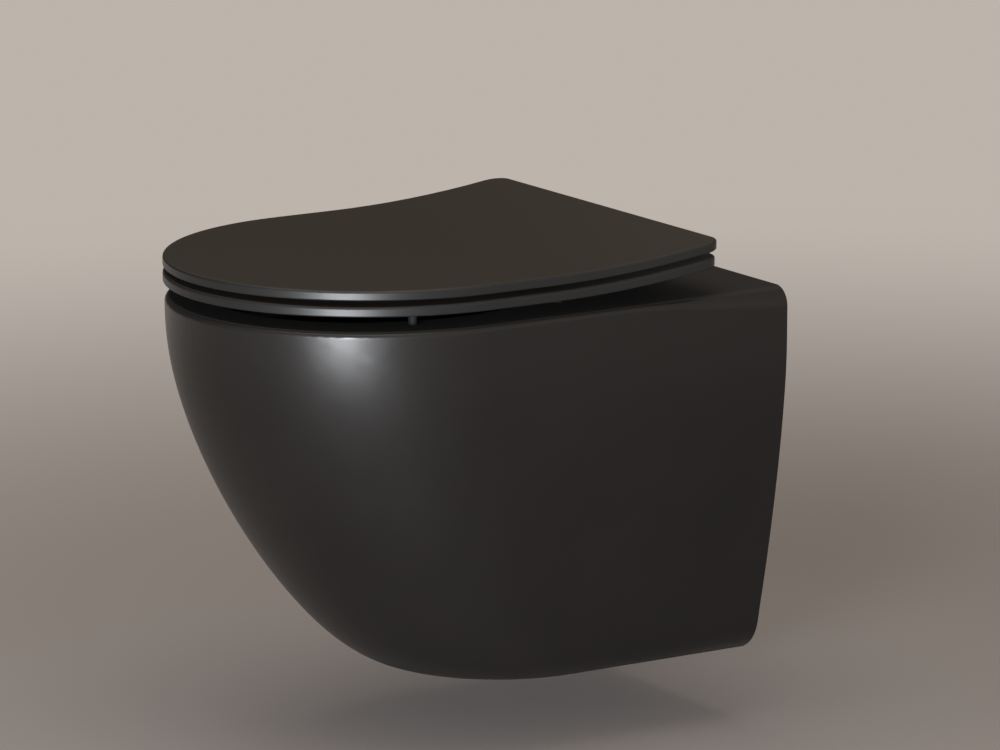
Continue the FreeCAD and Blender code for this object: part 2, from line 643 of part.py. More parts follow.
def wire_slot():
    """Slot in the hub for the spring's legs and its bend behind the post."""
    middle = HINGE_SPACING / 2
    half = wire_bend() + WIRE_R + FREE_GAP
    tall = WIRE_R + BUTTON_GAP
    front = -HINGE_FROM_WALL - TOE_REACH + button_depth()
    return block(middle - half, middle + half, front, -HINGE_FROM_WALL + half,
                 groove_z() - tall, groove_z() + tall)


def make_latch_spring():
    """Bent wire: its legs grip the post's groove and its ends push the button out."""
    middle, z, bend = HINGE_SPACING / 2, groove_z(), wire_bend()
    front = -HINGE_FROM_WALL - TOE_REACH + button_depth() + BUTTON_GAP / 2
    start, finish = V(middle - bend, front, z), V(middle + bend, front, z)
    left, right = V(middle - bend, -HINGE_FROM_WALL, z), V(middle + bend, -HINGE_FROM_WALL, z)
    turn = Part.Arc(left, V(middle, -HINGE_FROM_WALL + bend, z), right).toShape()
    path = Part.Wire([Part.makeLine(start, left), turn, Part.makeLine(right, finish)])
    ring = Part.Wire([Part.makeCircle(WIRE_R, start, V(0, 1, 0))])
    return path.makePipeShell([ring], True, False)


def seat_barrel_span():
    """Start and end along X of the seat's barrel, outside the hub."""
    start = hub_faces()[1] + BARREL_END_GAP
    return start, start + SEAT_BARREL_LENGTH


def lid_barrel_span():
    """Open end and closed end along X of the lid's barrel, inside the hub."""
    start = hub_faces()[0] - BARREL_END_GAP
    return start, start - LID_BARREL_LENGTH


def pin_span():
    """Ends of the pin, which stops short of both barrels' closed ends."""
    spare = CARTRIDGE_END + DRUM_END
    return lid_barrel_span()[1] + spare, seat_barrel_span()[1] - spare


def make_pin():
    low, high = pin_span()
    return cylinder(PIN_R, high - low, axis_point(low), V(1, 0, 0))


def heading(near, far):
    return 1 if far > near else -1


def bush(near, far):
    """Plain bush in a barrel's open end, round the pin."""
    way, base = heading(near, far), axis_point(near)
    drum = cylinder(CARTRIDGE_R, BUSH_LENGTH, base, V(way, 0, 0))
    start = base - V(way * OVERCUT, 0, 0)
    return drum.cut(cylinder(PIN_R + RUNNING_GAP, BUSH_LENGTH + 2 * OVERCUT, start, V(way, 0, 0)))


def damper(near, far):
    """Damper drum that fills its barrel; the pin reaches into it without passing through."""
    way = heading(near, far)
    length = abs(far - near) - CARTRIDGE_END - SNUG_GAP
    drum = cylinder(CARTRIDGE_R, length, axis_point(near), V(way, 0, 0))
    depth = abs(far - near) - CARTRIDGE_END - DRUM_END + FREE_GAP
    start = axis_point(near - way * OVERCUT)
    return drum.cut(cylinder(PIN_R + RUNNING_GAP, depth + OVERCUT, start, V(way, 0, 0)))


def barrel_bore(near, far):
    way = heading(near, far)
    length = abs(far - near) - CARTRIDGE_END + OVERCUT
    return cylinder(CARTRIDGE_R + SNUG_GAP, length, axis_point(near - way * OVERCUT), V(way, 0, 0))


# --- seat and lid -------------------------------------------------------------------------

def curved_slab(drop, thickness):
    """Layer under the lid's top surface: level in front, curving up towards the back."""
    bend = ((RISE_START - LID_BACK) ** 2 + REAR_RISE ** 2) / (2 * REAR_RISE)
    end = math.asin((RISE_START - LID_BACK + PAST) / bend)
    side = LID_HALF_WIDTH + PAST
    front = -STACK_NOSE - PAST

    def on_arc(angle, under):
        radius = bend + under
        return V(-side, -RISE_START + radius * math.sin(angle), LID_TOP_Z + bend - radius * math.cos(angle))

    def arc(under):
        return Part.Arc(on_arc(0, under), on_arc(end / 2, under), on_arc(end, under)).toShape()

    low = drop + thickness
    far_top, far_low = V(-side, front, LID_TOP_Z - drop), V(-side, front, LID_TOP_Z - low)
    edges = [Part.makeLine(far_top, on_arc(0, drop)), arc(drop),
             Part.makeLine(on_arc(end, drop), on_arc(end, low)), arc(low),
             Part.makeLine(on_arc(0, low), far_low), Part.makeLine(far_low, far_top)]
    return Part.Face(Part.Wire(Part.sortEdges(edges)[0])).extrude(V(2 * side, 0, 0))


def outline_prism(inset, back_inset):
    """Upright prism on the shared outline of seat and lid."""
    half, nose, back = LID_HALF_WIDTH - inset, -STACK_NOSE + inset, -LID_BACK - back_inset
    start = -STACK_NOSE + LID_FRONT_LENGTH
    radius = LID_CORNER_R - inset
    low, high = DECK_Z, LID_TOP_Z + REAR_RISE + PAST

    def p(x, y):
        return V(x, y, low)

    diagonal = radius * (1 - math.sqrt(0.5))

    def corner(side):
        points = [p(side * half, back - radius), p(side * (half - diagonal), back - diagonal),
                  p(side * (half - radius), back)]
        return Part.Arc(*points).toShape()

    edges = [
        rational_arc(p(-half, start), p(-half, nose), p(0, nose)),
        rational_arc(p(0, nose), p(half, nose), p(half, start)),
        Part.makeLine(p(half, start), p(half, back - radius)),
        corner(1),
        Part.makeLine(p(half - radius, back), p(radius - half, back)),
        corner(-1),
        Part.makeLine(p(-half, back - radius), p(-half, start)),
    ]
    return Part.Face(Part.Wire(Part.sortEdges(edges)[0])).extrude(V(0, 0, high - low))


def rounded(solid):
    """Round the edges between upright sides and the upper and lower faces."""
    for up, radius in ((1, EDGE_ROUND), (-1, UNDER_ROUND)):
        edges = []
        for edge in solid.Edges:
            faces = solid.ancestorsOfType(edge, Part.Face)
            tilts = [face_tilt(face) for face in faces]
            level = any(tilt * up > NEAR_LEVEL for tilt in tilts)
            if level and any(abs(tilt) < NEAR_UPRIGHT for tilt in tilts):
                edges.append(edge)
        solid = solid.makeFillet(radius, edges)
    return solid


def face_tilt(face):
    """The upward part of a face's normal at the middle of its surface."""
    u0, u1, v0, v1 = face.ParameterRange
    return face.normalAt((u0 + u1) / 2, (v0 + v1) / 2).z


def both(shape):
    return [mirrored(shape, side) for _, side in SIDES]


def seat_buffer_forms():
    """Four buffers between seat and deck, each with a peg into the seat, and the pegs' holes."""
    pads, holes = [], []
    under = SEAT_TOP_DROP + SEAT_HEIGHT
    length, width = SEAT_BUFFER_LENGTH, SEAT_BUFFER_WIDTH
    end = (length - width) / 2
    for x, behind, turn in SEAT_BUFFER_PLACES:
        centre = V(x, behind - STACK_NOSE, DECK_Z + FREE_GAP)
        bar = Part.makeBox(width, 2 * end, TALL, centre - V(width / 2, end, 0))
        ends = [cylinder(width / 2, TALL, centre + V(0, side * end, 0)) for side in (-1, 1)]
        pad = bar.fuse(ends).removeSplitter()
        pad.rotate(centre, V(0, 0, 1), turn)
        pad = pad.common(curved_slab(under, LID_TOP_LIFT))
        peg = cylinder(PEG_R, TALL, centre).common(curved_slab(under - PEG_LENGTH, PEG_LENGTH + OVERCUT))
        pads += both(pad.fuse(peg))
        drill = curved_slab(under - PEG_LENGTH - SEAT_GAP, PEG_LENGTH + LID_TOP_LIFT)
        holes += both(cylinder(PEG_R + SNUG_GAP, TALL, centre).common(drill))
    return pads, holes


def lid_buffer_forms():
    """Four buffers between lid and seat, each with a peg into the lid's skin, and the pegs' holes."""
    pads, holes = [], []
    short = LID_SKIN / 2
    for x, behind in LID_BUFFER_PLACES:
        centre = V(x, behind - STACK_NOSE, DECK_Z)
        layer = curved_slab(LID_SKIN, SEAT_TOP_DROP - LID_SKIN - FREE_GAP)
        pad = cylinder(LID_BUFFER_R, TALL, centre).common(layer)
        peg = cylinder(PEG_R, TALL, centre).common(curved_slab(LID_SKIN - short, short + OVERCUT))
        pads += both(pad.fuse(peg))
        drill = curved_slab(LID_SKIN - short - SEAT_GAP, LID_SKIN)
        holes += both(cylinder(PEG_R + SNUG_GAP, TALL, centre).common(drill))
    return pads, holes


def make_seat(peg_holes):
    """Seat ring with a barrel outside each hub and an open notch round hub and lid barrel."""
    plate = outline_prism(0.0, SEAT_BACK_INSET).common(curved_slab(SEAT_TOP_DROP, SEAT_HEIGHT))
    hole = Part.Face(oval(HOLE_HALF_WIDTH, -HOLE_FRONT, -HOLE_BACK, DECK_Z)).extrude(V(0, 0, TALL))
    seat = rounded(plate.cut(hole))
    start, end = seat_barrel_span()
    inner = lid_barrel_span()[1] - NOTCH_GAP
    notch = block(inner, start, -HINGE_FROM_WALL - BARREL_R - 2 * NOTCH_GAP, 0, DECK_Z, DECK_Z + TALL)
    barrel = cylinder(BARREL_R, end - start, axis_point(start), V(1, 0, 0))
    seat = seat.cut(both(notch)).fuse(both(barrel))
    return seat.cut(both(barrel_bore(start, end)) + peg_holes)


def make_lid(peg_holes):
    """Thin lid, hollow underneath inside its rim, with a barrel inside each hub."""
    lid = rounded(outline_prism(0.0, 0.0).common(curved_slab(0, LID_HEIGHT)))
    lid = lid.cut(outline_prism(LID_RIM, LID_RIM).common(curved_slab(LID_SKIN, LID_HEIGHT)))
    near, far = lid_barrel_span()
    barrel = cylinder(BARREL_R, near - far, axis_point(far), V(1, 0, 0))
    web = block(far, near, -HINGE_FROM_WALL - WEB_HALF, -HINGE_FROM_WALL + WEB_HALF, HINGE_Z, DECK_Z + TALL)
    web = web.common(curved_slab(LID_SKIN / 2, LID_TOP_LIFT))
    lid = lid.fuse(both(barrel.fuse(web)))
    return lid.cut(both(barrel_bore(near, far)) + peg_holes)


# --- everything ---------------------------------------------------------------------------

def main():
    os.makedirs("parts", exist_ok=True)
    for name, shape in make_casting().items():
        save(name, shape)
    save("flush_deflector", make_deflector())
    pairs = {
        "fixing_bracket": make_bracket(), "stud_nut": make_stud_nut(), "bearing_pad": make_pad(),
        "deck_bush": make_deck_bush(), "fixing_screw": make_fixing_screw(),
        "hinge_gasket": make_gasket(), "hinge_base": make_hinge_base(),
        "hinge_post": make_hinge_post(), "hinge_hub": make_hub(), "hinge_pin": make_pin(),
        "latch_spring": make_latch_spring(), "release_button": make_button(),
    }
    for name, shape in pairs.items():
        for word, side in SIDES:
            save(f"{name}_{word}", mirrored(shape, side))
    seat_pads, seat_holes = seat_buffer_forms()
    lid_pads, lid_holes = lid_buffer_forms()
    save("seat_ring", make_seat(seat_holes))
    save("lid", make_lid(lid_holes))
    save("seat_buffers", Part.makeCompound(seat_pads))
    save("lid_buffers", Part.makeCompound(lid_pads))
    seat_near, seat_far = seat_barrel_span()
    lid_near, lid_far = lid_barrel_span()
    save("seat_damper", damper(seat_near, seat_far))
    save("seat_bush", mirrored(bush(seat_near, seat_far), -1))
    save("lid_damper", mirrored(damper(lid_near, lid_far), -1))
    save("lid_bush", bush(lid_near, lid_far))


main()
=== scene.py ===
"""Wall hung toilet: its finishes, thumb ridges and latch wires, then floor, light and camera.

All lengths are metres unless the name says mm.
"""
import math

import bmesh
import bpy
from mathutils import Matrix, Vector


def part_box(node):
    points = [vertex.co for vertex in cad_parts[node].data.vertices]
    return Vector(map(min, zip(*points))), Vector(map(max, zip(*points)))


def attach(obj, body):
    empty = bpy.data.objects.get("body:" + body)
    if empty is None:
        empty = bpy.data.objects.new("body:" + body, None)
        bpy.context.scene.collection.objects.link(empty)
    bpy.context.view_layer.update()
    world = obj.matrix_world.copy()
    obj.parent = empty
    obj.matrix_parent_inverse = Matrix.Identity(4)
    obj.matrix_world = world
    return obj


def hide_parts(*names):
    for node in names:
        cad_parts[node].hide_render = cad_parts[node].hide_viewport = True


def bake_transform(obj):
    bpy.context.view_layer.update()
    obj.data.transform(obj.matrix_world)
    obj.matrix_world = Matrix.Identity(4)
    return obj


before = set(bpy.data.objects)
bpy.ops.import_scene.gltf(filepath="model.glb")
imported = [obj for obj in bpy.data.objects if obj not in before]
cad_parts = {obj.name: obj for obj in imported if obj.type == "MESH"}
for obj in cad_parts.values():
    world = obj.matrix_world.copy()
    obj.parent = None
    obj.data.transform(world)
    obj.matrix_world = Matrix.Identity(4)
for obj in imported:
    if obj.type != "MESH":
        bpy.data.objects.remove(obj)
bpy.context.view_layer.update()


# --- pan: the casting's outer skin and deck -----------------------------------------------------
# The pan is one vitreous china casting, slip cast in plaster moulds, sprayed with matt black
# glaze and fired.  Its back is ground flat to meet the wall, and its hollow stays bare clay.

MILLIMETRE = 0.001


def linear(hex_colour):
    """Linear red, green, blue and alpha of an sRGB hex colour, by the sRGB standard's curve."""
    channels = [int(hex_colour[i:i + 2], 16) / 255 for i in (0, 2, 4)]
    return tuple(c / 12.92 if c <= 0.04045 else ((c + 0.055) / 1.055) ** 2.4
                 for c in channels) + (1.0,)


def add(tree, kind, settings=None, links=None):
    """Adds a node; settings fill its properties and sockets, links wire its inputs."""
    node = tree.nodes.new(kind)
    for name, value in (settings or {}).items():
        if isinstance(name, str) and hasattr(node, name):
            setattr(node, name, value)
        else:
            node.inputs[name].default_value = value
    for name, source in (links or {}).items():
        tree.links.new(source, node.inputs[name])
    return node


# Cloud noise mostly stays between thin and thick.  A face turns from round to level while the
# upright part of its normal goes from LEVEL_FROM to LEVEL_FULL.
CLOUD_DETAIL = 3.0
CLOUD_THIN = 0.3
CLOUD_THICK = 0.7
GRAIN_DETAIL = 2.0
LEVEL_FROM = 0.80
LEVEL_FULL = 0.98


def surface(name, dark, light, roughness, cloud_mm, grain_mm, grain_depth_mm,
            metallic=0.0, gloss=0.5, level=None):
    """A finish that drifts between two near colours in soft clouds and carries a fine grain.

    The real grain of these finishes is too fine to show, so it is drawn coarser.  Where level
    is given, faces that look straight up or down have that roughness, and that colour as a
    painted reflection of the room.
    A Mix node's sockets are 0 for the factor, 2 and 3 for numbers, 6 and 7 for colours.
    """
    material = bpy.data.materials.new(name)
    material.use_nodes = True
    tree = material.node_tree
    shader = tree.nodes["Principled BSDF"]
    shader.inputs["Metallic"].default_value = metallic
    shader.inputs["Specular IOR Level"].default_value = gloss
    coordinates = add(tree, "ShaderNodeTexCoord")
    place = coordinates.outputs["Object"]
    clouds = add(tree, "ShaderNodeTexNoise",
                 {"Scale": 1 / (cloud_mm * MILLIMETRE), "Detail": CLOUD_DETAIL},
                 {"Vector": place}).outputs["Fac"]
    colour = add(tree, "ShaderNodeMix",
                 {"data_type": "RGBA", 6: linear(dark), 7: linear(light)},
                 {0: clouds}).outputs[2]
    low, high = roughness
    rough = add(tree, "ShaderNodeMapRange",
                {"From Min": CLOUD_THIN, "From Max": CLOUD_THICK, "To Min": low, "To Max": high},
                {"Value": clouds}).outputs["Result"]
    if level:
        painted_level_reflection, level_roughness = level
        upward = add(tree, "ShaderNodeSeparateXYZ",
                     links={0: coordinates.outputs["Normal"]}).outputs["Z"]
        either_way = add(tree, "ShaderNodeMath", {"operation": "ABSOLUTE"}, {0: upward}).outputs[0]
        flat = add(tree, "ShaderNodeMapRange",
                   {"From Min": LEVEL_FROM, "From Max": LEVEL_FULL,
                    "interpolation_type": "SMOOTHSTEP"},
                   {"Value": either_way}).outputs["Result"]
        rough = add(tree, "ShaderNodeMix", {3: level_roughness}, {0: flat, 2: rough}).outputs[0]
        # Level faces get the level colour, a painted reflection of the room on them.
        colour = add(tree, "ShaderNodeMix", {"data_type": "RGBA", 7: linear(painted_level_reflection)},
                     {0: flat, 6: colour}).outputs[2]
    grain = add(tree, "ShaderNodeTexNoise",
                {"Scale": 1 / (grain_mm * MILLIMETRE), "Detail": GRAIN_DETAIL},
                {"Vector": place}).outputs["Fac"]
    relief = add(tree, "ShaderNodeBump",
                 {"Strength": 1.0, "Distance": grain_depth_mm * MILLIMETRE},
                 {"Height": grain}).outputs["Normal"]
    tree.links.new(colour, shader.inputs["Base Color"])
    tree.links.new(rough, shader.inputs["Roughness"])
    tree.links.new(relief, shader.inputs["Normal"])
    return material


def dress(material, *nodes):
    """Gives the solids of these names one finish."""
    for node in nodes:
        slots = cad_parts[node].data.materials
        slots.clear()
        slots.append(material)


# Fired clay without glaze: dull sandy buff, dry, with no shine.
BARE_CLAY = "a89a86"
BARE_CLAY_ROUGHNESS = 0.85


def glazed_china(name, bare):
    """Matt black glaze, with bare clay where the mask that bare() builds is one.

    Matt glaze is near black, with a wide soft sheen and a skin as fine as an egg's.  Level
    faces are drawn rougher, and in a lighter, warmer colour that is a painted reflection of
    the room.
    """
    # Level faces: rougher, with a painted reflection of the room as their colour.
    material = surface(name, dark="100f0e", light="131110", roughness=(0.30, 0.34), cloud_mm=90.0,
                       grain_mm=1.2, grain_depth_mm=0.006, gloss=0.34, level=("171514", 0.85))
    tree = material.node_tree
    shader = tree.nodes["Principled BSDF"]
    place = add(tree, "ShaderNodeTexCoord")
    spot = add(tree, "ShaderNodeSeparateXYZ", links={0: place.outputs["Object"]})
    mask = bare(tree, place, spot)
    glaze_colour = shader.inputs["Base Color"].links[0].from_socket
    glaze_roughness = shader.inputs["Roughness"].links[0].from_socket
    colour = add(tree, "ShaderNodeMix", {"data_type": "RGBA", 7: linear(BARE_CLAY)},
                 {0: mask, 6: glaze_colour}).outputs[2]
    rough = add(tree, "ShaderNodeMix", {3: BARE_CLAY_ROUGHNESS},
                {0: mask, 2: glaze_roughness}).outputs[0]
    tree.links.new(colour, shader.inputs["Base Color"])
    tree.links.new(rough, shader.inputs["Roughness"])
    return material


def facing(tree, place, middle):
    """Above zero where a face looks away from the middle point, under zero where it looks there."""
    arm = add(tree, "ShaderNodeVectorMath", {"operation": "SUBTRACT", 1: middle},
              {0: place.outputs["Object"]}).outputs[0]
    return add(tree, "ShaderNodeVectorMath", {"operation": "DOT_PRODUCT"},
               {0: arm, 1: place.outputs["Normal"]}).outputs["Value"]


# The deck's underside lies at 68 mm, where the wall of its opening starts.  A face that looks
# down is taken a millimetre lower, so the underside is bare and the wall above it glazed.
OPENING_FOOT = 0.0679
FACING_DOWN_DROP = MILLIMETRE
HOLLOW_MIDDLE = (0.0, -0.15, -0.05)
WALL_FACE_DEPTH = -0.0005
STRAIGHT_BACK = 0.95


def shell_bare(tree, place, spot):
    """The walls of the hollow, and the ground face on the wall."""
    turned = add(tree, "ShaderNodeSeparateXYZ", links={0: place.outputs["Normal"]})
    inward = add(tree, "ShaderNodeMath", {"operation": "LESS_THAN", 1: 0.0},
                 {0: facing(tree, place, HOLLOW_MIDDLE)}).outputs[0]
    dropped = add(tree, "ShaderNodeMath", {"operation": "MULTIPLY_ADD", 1: FACING_DOWN_DROP},
                  {0: turned.outputs["Z"], 2: spot.outputs["Z"]}).outputs[0]
    below = add(tree, "ShaderNodeMath", {"operation": "LESS_THAN", 1: OPENING_FOOT},
                {0: dropped}).outputs[0]
    hollow = add(tree, "ShaderNodeMath", {"operation": "MULTIPLY"},
                 {0: inward, 1: below}).outputs[0]
    at_wall = add(tree, "ShaderNodeMath", {"operation": "GREATER_THAN", 1: WALL_FACE_DEPTH},
                  {0: spot.outputs["Y"]}).outputs[0]
    backward = add(tree, "ShaderNodeMath", {"operation": "GREATER_THAN", 1: STRAIGHT_BACK},
                   {0: turned.outputs["Y"]}).outputs[0]
    ground = add(tree, "ShaderNodeMath", {"operation": "MULTIPLY"},
                 {0: at_wall, 1: backward}).outputs[0]
    return add(tree, "ShaderNodeMath", {"operation": "MAXIMUM"}, {0: hollow, 1: ground}).outputs[0]


dress(glazed_china("matt_glazed_china_skin", shell_bare), "pan_shell")


# --- basin, trapway and flush channel of the casting --------------------------------------------
# The rimless basin, the pipe behind it and the flush channel are moulded beside the skin and
# stuck to it with slip before the firing.  Glaze runs only where water does.

BARE_TOP = 0.0685
BASIN_MIDDLE = (0.0, -0.305, 0.0)
SPIGOT_GLAZE_RADIUS = 0.0465
SPIGOT_HEIGHT = -0.100
SPIGOT_DEPTH = -0.070
TRAP_MOUTH_DEPTH = -0.240
FLUSH_MOUTH_DEPTH = -0.120


def basin_bare(tree, place, spot):
    """The basin's outside, under the deck."""
    outward = add(tree, "ShaderNodeMath", {"operation": "GREATER_THAN", 1: 0.0},
                  {0: facing(tree, place, BASIN_MIDDLE)}).outputs[0]
    below = add(tree, "ShaderNodeMath", {"operation": "LESS_THAN", 1: BARE_TOP},
                {0: spot.outputs["Z"]}).outputs[0]
    return add(tree, "ShaderNodeMath", {"operation": "MULTIPLY"}, {0: outward, 1: below}).outputs[0]


def trapway_bare(tree, place, spot):
    """Everything but the spigot's bore and the mouth in the basin."""
    height = add(tree, "ShaderNodeMath", {"operation": "SUBTRACT", 1: SPIGOT_HEIGHT},
                 {0: spot.outputs["Z"]}).outputs[0]
    from_axis = add(tree, "ShaderNodeCombineXYZ",
                    links={"X": spot.outputs["X"], "Y": height}).outputs[0]
    radius = add(tree, "ShaderNodeVectorMath", {"operation": "LENGTH"},
                 {0: from_axis}).outputs["Value"]
    within = add(tree, "ShaderNodeMath", {"operation": "LESS_THAN", 1: SPIGOT_GLAZE_RADIUS},
                 {0: radius}).outputs[0]
    rear = add(tree, "ShaderNodeMath", {"operation": "GREATER_THAN", 1: SPIGOT_DEPTH},
               {0: spot.outputs["Y"]}).outputs[0]
    bore = add(tree, "ShaderNodeMath", {"operation": "MULTIPLY"}, {0: within, 1: rear}).outputs[0]
    elsewhere = add(tree, "ShaderNodeMath", {"operation": "SUBTRACT", 0: 1.0}, {1: bore}).outputs[0]
    behind_mouth = add(tree, "ShaderNodeMath", {"operation": "GREATER_THAN", 1: TRAP_MOUTH_DEPTH},
                       {0: spot.outputs["Y"]}).outputs[0]
    return add(tree, "ShaderNodeMath", {"operation": "MULTIPLY"},
               {0: elsewhere, 1: behind_mouth}).outputs[0]


def channel_bare(tree, place, spot):
    """Everything but the mouth in the basin."""
    return add(tree, "ShaderNodeMath", {"operation": "GREATER_THAN", 1: FLUSH_MOUTH_DEPTH},
               {0: spot.outputs["Y"]}).outputs[0]


dress(glazed_china("matt_glazed_china_basin", basin_bare), "basin")
dress(glazed_china("matt_glazed_china_trapway", trapway_bare), "trapway")
dress(glazed_china("matt_glazed_china_channel", channel_bare), "flush_channel")


# --- flush deflector ----------------------------------------------------------------------------
# A grey polypropylene hood, injection moulded and pushed into the flush mouth; its windows
# turn the water sideways round the rimless basin.

# Polypropylene: slightly waxy, with the even fine grain of a spark-eroded mould.
MOULDED_POLYPROPYLENE = surface("moulded_grey_polypropylene", dark="3c3c3d", light="434344",
                                roughness=(0.44, 0.52), cloud_mm=30.0, grain_mm=0.6,
                                grain_depth_mm=0.01)

dress(MOULDED_POLYPROPYLENE, "flush_deflector")


# --- wall brackets, stud nuts and pads ----------------------------------------------------------
# Two pressed and welded steel brackets, zinc plated, go on the wall studs behind the pan and
# are drawn up with flange nuts; moulded plastic pads on their arms carry the deck.

# Bright zinc plating: cool grey with a cloudy, slightly uneven shine.
ZINC_PLATED_STEEL = surface("zinc_plated_pressed_steel", dark="9fa3a6", light="b9bcbe",
                            roughness=(0.30, 0.46), cloud_mm=12.0, grain_mm=0.8,
                            grain_depth_mm=0.008, metallic=1.0)

dress(ZINC_PLATED_STEEL, "fixing_bracket_left", "fixing_bracket_right")
dress(ZINC_PLATED_STEEL, "stud_nut_left", "stud_nut_right")
dress(MOULDED_POLYPROPYLENE, "bearing_pad_left", "bearing_pad_right")


# --- deck bushes and fixing screws --------------------------------------------------------------
# Soft sleeves line the two holes in the deck, and a hollow turned steel screw goes down
# through each of them and the pad into the bracket's threaded boss.

# Moulded EPDM rubber: deep black, dry, no shine.
MOULDED_RUBBER = surface("moulded_black_rubber", dark="0d0d0d", light="121212",
                         roughness=(0.75, 0.85), cloud_mm=20.0, grain_mm=0.5, grain_depth_mm=0.01,
                         gloss=0.2)

dress(MOULDED_RUBBER, "deck_bush_left", "deck_bush_right")
dress(ZINC_PLATED_STEEL, "fixing_screw_left", "fixing_screw_right")


# --- hinge feet: gaskets, bases, posts ----------------------------------------------------------
# A foam-soft rubber ring seals each die-cast base on the deck; the turned stainless post
# stands on it, with the groove that the latch spring snaps into.

# Black powder coat on die-cast zinc: satin, with the slight orange peel of melted powder.
POWDER_COATED_ZINC = surface("black_powder_coated_die_cast_zinc", dark="1d1c1b", light="232221",
                             roughness=(0.36, 0.44), cloud_mm=15.0, grain_mm=1.0,
                             grain_depth_mm=0.02)
# Turned stainless steel: warm light grey with fine marks.
TURNED_STAINLESS = surface("turned_stainless_steel", dark="a9a6a1", light="bbb8b3",
                           roughness=(0.22, 0.32), cloud_mm=6.0, grain_mm=0.5,
                           grain_depth_mm=0.005, metallic=1.0)

dress(MOULDED_RUBBER, "hinge_gasket_left", "hinge_gasket_right")
dress(POWDER_COATED_ZINC, "hinge_base_left", "hinge_base_right")
dress(TURNED_STAINLESS, "hinge_post_left", "hinge_post_right")


# --- hinge hubs, pins and latch springs ---------------------------------------------------------
# Each hub is die cast, slides down on its post and is held by a bent spring wire; the
# stainless pin through it carries the barrels of seat and lid.

dress(POWDER_COATED_ZINC, "hinge_hub_left", "hinge_hub_right")
dress(TURNED_STAINLESS, "hinge_pin_left", "hinge_pin_right")

# On the real toilet the pressed button pushes the wire's legs back, while its bend stays round
# the post.  Here the wire is the spring's solid with its doubled points welded; it stays rigid.
MERGE_REACH = 0.01 * MILLIMETRE

for side in ("left", "right"):
    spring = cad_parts[f"latch_spring_{side}"]
    wire_mesh = bpy.data.meshes.new(f"latch_wire_{side}")
    welded = bmesh.new()
    welded.from_mesh(spring.data)
    bmesh.ops.remove_doubles(welded, verts=welded.verts, dist=MERGE_REACH)
    welded.to_mesh(wire_mesh)
    welded.free()
    wire_mesh.polygons.foreach_set("use_smooth", [True] * len(wire_mesh.polygons))
    wire_mesh.materials.clear()
    wire_mesh.materials.append(TURNED_STAINLESS)
    latch_wire = bpy.data.objects.new(f"latch_wire_{side}", wire_mesh)
    bpy.context.collection.objects.link(latch_wire)
    low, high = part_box(f"latch_spring_{side}")
    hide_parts(f"latch_spring_{side}")
    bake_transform(latch_wire)


# --- seat ring and lid --------------------------------------------------------------------------
# Both are compression moulded from urea duroplast, black right through, and polished to a
# matt satin; the thin edges are rounded in the mould.

# Duroplast: hard and dense, with a low even sheen on its edges; its broad level faces are
# drawn rougher, and lighter and browner as a painted reflection of the room.
MOULDED_DUROPLAST = surface("compression_moulded_black_duroplast", dark="131313", light="171717",
                            roughness=(0.34, 0.38), cloud_mm=120.0, grain_mm=0.8,
                            grain_depth_mm=0.004, gloss=0.30, level=("2d2722", 0.9))

dress(MOULDED_DUROPLAST, "seat_ring", "lid")


# --- buffers ------------------------------------------------------------------------------------
# Four black rubber buffers under the seat and four under the lid are pressed into blind
# holes with a peg and keep the plates apart.

dress(MOULDED_RUBBER, "seat_buffers", "lid_buffers")


# --- dampers and bushes in the barrels ----------------------------------------------------------
# One sealed oil damper and one plain bush, both moulded plastic, turn on the pins at
# opposite ends of seat and lid, so that both fall slowly.

dress(MOULDED_POLYPROPYLENE, "seat_damper", "seat_bush", "lid_damper", "lid_bush")


# --- release buttons ----------------------------------------------------------------------------
# Each moulded ABS button slides in the toe of its hub and spreads the latch spring, so that
# the seat lifts off.  Fine ridges on its face give the thumb a hold.

# Moulded ABS: black with a low even sheen.
MOULDED_ABS = surface("moulded_black_abs", dark="1c1c1c", light="222222", roughness=(0.42, 0.50),
                      cloud_mm=12.0, grain_mm=0.6, grain_depth_mm=0.008)
RIDGE_COUNT = 5
RIDGE_SPACING = 1.1 * MILLIMETRE
RIDGE_WIDTH = 0.5 * MILLIMETRE
RIDGE_PROUD = 0.35 * MILLIMETRE
RIDGE_LENGTH = 8.0 * MILLIMETRE


